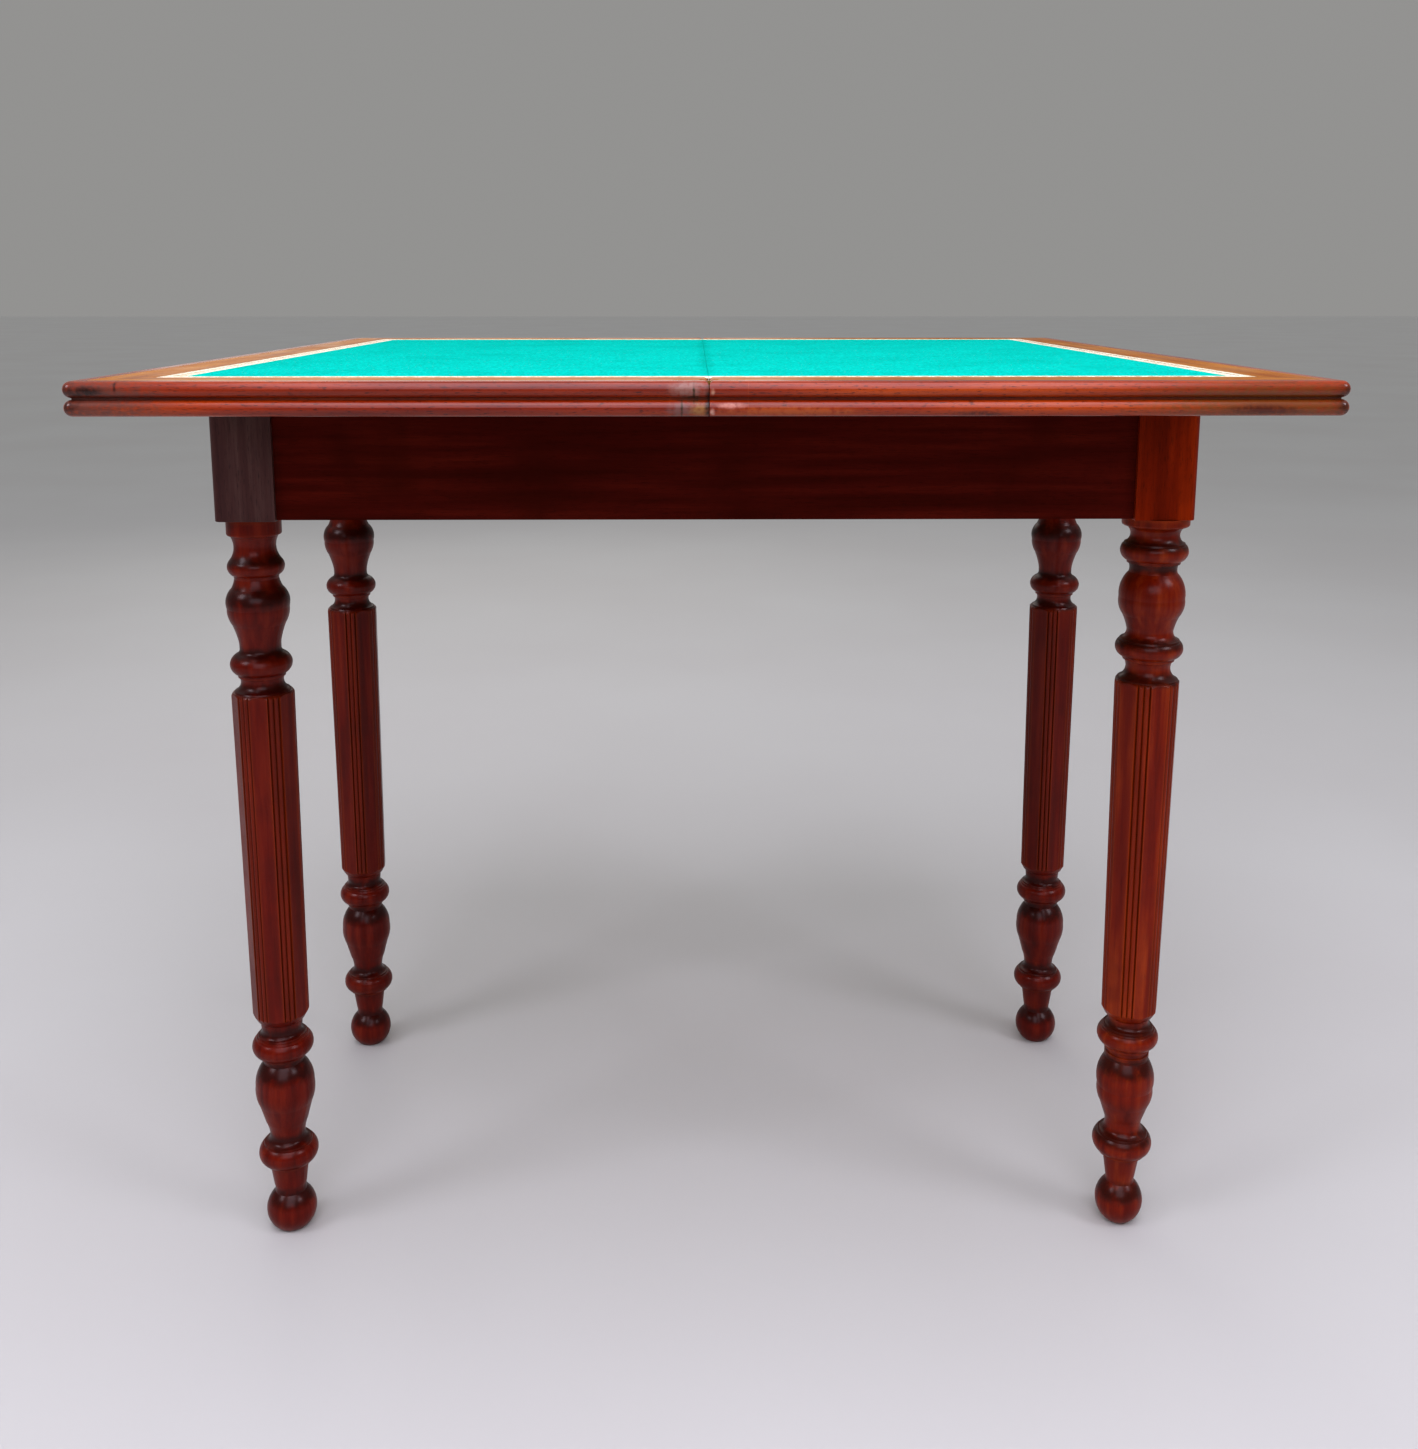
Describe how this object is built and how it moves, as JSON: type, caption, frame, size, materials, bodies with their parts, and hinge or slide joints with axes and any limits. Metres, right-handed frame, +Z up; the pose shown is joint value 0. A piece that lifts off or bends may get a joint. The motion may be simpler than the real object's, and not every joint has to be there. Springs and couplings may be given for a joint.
{
  "type": "games table",
  "caption": "Games table on turned and fluted legs. Its baize-lined top folds in half and turns a quarter round on the frame to open.",
  "frame": {"origin": "on the floor under the middle of the open top, in the plane of the feet", "axes": "+Z up, +X towards the leaf that folds over, +Y from the front apron to the back apron"},
  "size_m": [0.8, 0.8, 0.74],
  "materials": {
    "polished_mahogany": "French-polished mahogany of the leaves' mouldings and margins",
    "leg_mahogany": "French-polished turned mahogany, dark red-brown and glossy",
    "block_mahogany": "polished mahogany, a little worn",
    "apron_mahogany": "dark polished mahogany veneer",
    "secondary_oak": "plain unpolished secondary wood",
    "border_leather": "pale leather strip with narrow gilt lines",
    "table_baize": "blue-green woollen baize, glued down",
    "lining_baize": "thin baize lining of the well",
    "hinge_brass": "aged brass",
    "dull_steel": "dull steel",
    "washer_leather": "greased leather washer"
  },
  "bodies": {
    "table_frame": {"front_left_block": "block_mahogany", "front_left_leg": "leg_mahogany", "front_right_block": "block_mahogany", "front_right_leg": "leg_mahogany", "back_left_block": "block_mahogany", "back_left_leg": "leg_mahogany", "back_right_block": "block_mahogany", "back_right_leg": "leg_mahogany", "front_apron": "secondary_oak", "front_apron_veneer": "apron_mahogany", "back_apron": "secondary_oak", "back_apron_veneer": "apron_mahogany", "left_apron": "secondary_oak", "left_apron_veneer": "apron_mahogany", "right_apron": "secondary_oak", "right_apron_veneer": "apron_mahogany", "pivot_rail": "secondary_oak", "pivot_rail_cleats": "secondary_oak", "well_divider": "secondary_oak", "well_ledgers": "secondary_oak", "well_bottom": "secondary_oak", "well_lining": "lining_baize"},
    "fixed_leaf": {"pivot_plate": "dull_steel", "pivot_plate_screws": "dull_steel", "pivot_bolt": "dull_steel", "steel_washer": "dull_steel", "pivot_nut": "dull_steel", "friction_washer": "washer_leather", "stop_peg": "secondary_oak", "fixed_leaf_core": "secondary_oak", "fixed_leaf_seam_strip": "polished_mahogany", "fixed_leaf_front_edge": "polished_mahogany", "fixed_leaf_back_edge": "polished_mahogany", "fixed_leaf_end_edge": "polished_mahogany", "fixed_leaf_banding": "polished_mahogany", "fixed_leaf_border": "border_leather", "fixed_leaf_baize": "table_baize", "fixed_leaf_hinge_covers": "polished_mahogany", "fixed_leaf_hinge_plates": "hinge_brass", "fixed_leaf_hinge_pins": "dull_steel", "fixed_leaf_hinge_screws": "hinge_brass"},
    "hinge_links": {"hinge_links": "hinge_brass"},
    "flip_leaf": {"flip_leaf_core": "secondary_oak", "flip_leaf_seam_strip": "polished_mahogany", "flip_leaf_front_edge": "polished_mahogany", "flip_leaf_back_edge": "polished_mahogany", "flip_leaf_end_edge": "polished_mahogany", "flip_leaf_banding": "polished_mahogany", "flip_leaf_border": "border_leather", "flip_leaf_baize": "table_baize", "flip_leaf_hinge_covers": "polished_mahogany", "flip_leaf_hinge_plates": "hinge_brass", "flip_leaf_hinge_pins": "dull_steel", "flip_leaf_hinge_screws": "hinge_brass", "flip_leaf_face_veneer": "polished_mahogany"}
  },
  "joints": [
    {"name": "top_swivel", "type": "hinge", "parent": "table_frame", "child": "fixed_leaf", "pos_m": [-0.1, -0.1, 0.718], "axis": [0, 0, 1], "range_deg": [-90, 0]},
    {"name": "link_fold", "type": "hinge", "parent": "fixed_leaf", "child": "hinge_links", "pos_m": [-0.0033, 0, 0.737], "axis": [0, -1, 0], "range_deg": [0, 90]},
    {"name": "leaf_fold", "type": "hinge", "parent": "hinge_links", "child": "flip_leaf", "pos_m": [0.0033, 0, 0.737], "axis": [0, -1, 0], "range_deg": [0, 90]}
  ]
}
